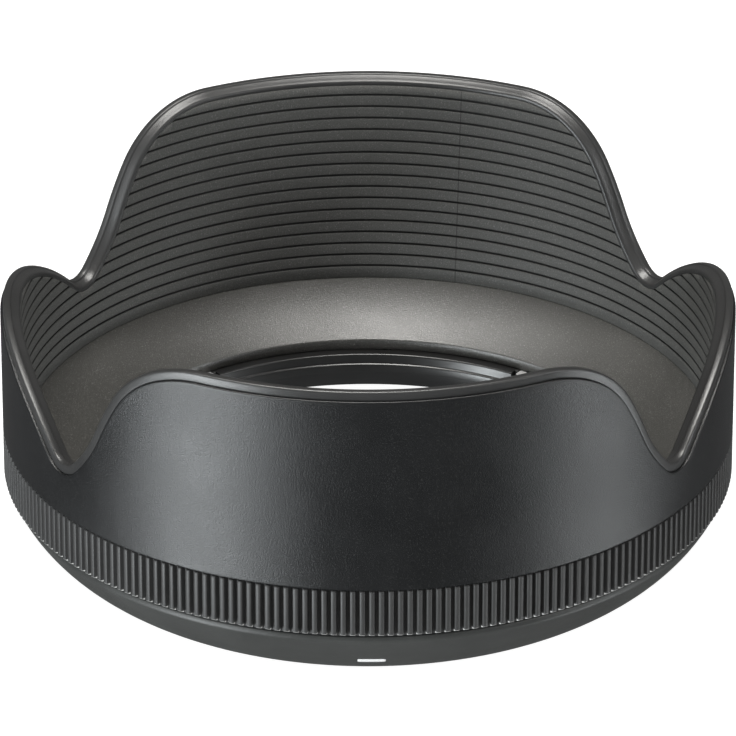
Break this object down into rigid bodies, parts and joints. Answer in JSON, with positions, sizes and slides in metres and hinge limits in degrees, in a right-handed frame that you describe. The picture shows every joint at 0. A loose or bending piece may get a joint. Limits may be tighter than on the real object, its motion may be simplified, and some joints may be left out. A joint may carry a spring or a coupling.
{
  "type": "petal lens hood",
  "caption": "Petal-shaped lens hood with a ribbed knurled grip band, light-trap grooves inside and a bayonet rear mount with sprung click catches.",
  "frame": {"origin": "centre of the collar's rear face, on the optical axis", "axes": "+Z forward along the optical axis; +Y through the middle of a long petal; +X through the middle of a short petal"},
  "size_m": [0.11, 0.11, 0.0495],
  "materials": {
    "shell_plastic": "satin black moulded plastic with a fine grain",
    "liner_plastic": "matt black plastic with fine circumferential grooves",
    "rim_plastic": "semi-gloss black moulded edge",
    "floor_plastic": "matt dark plastic with a fine sparkle grain",
    "collar_plastic": "satin black plastic",
    "mark_paint": "white inlay",
    "mount_plastic": "smooth black plastic",
    "catch_plastic": "smooth pale moulded nose",
    "spring_steel": "thin spring steel strip",
    "grip_rubber": "black moulded rubber with straight ribs"
  },
  "bodies": {
    "hood": {"outer_shell": "shell_plastic", "inner_liner": "liner_plastic", "rim_bead": "rim_plastic", "front_baffle": "floor_plastic", "rear_cover": "collar_plastic", "index_mark": "mark_paint", "mount_ring": "mount_plastic", "click_spring_left": "spring_steel", "click_spring_right": "spring_steel", "grip_ring": "grip_rubber"},
    "catch_left": {"click_catch_left": "catch_plastic"},
    "catch_right": {"click_catch_right": "catch_plastic"}
  },
  "joints": [
    {"name": "click_catch_left_slide", "type": "slide", "parent": "hood", "child": "catch_left", "axis": [-0.57, 0.8216, 0], "range_m": [0, 0.0006], "stiffness_N_per_m": 2000, "deforming": ["click_spring_left"]},
    {"name": "click_catch_right_slide", "type": "slide", "parent": "hood", "child": "catch_right", "axis": [0.57, 0.8216, 0], "range_m": [0, 0.0006], "stiffness_N_per_m": 2000, "deforming": ["click_spring_right"]}
  ]
}
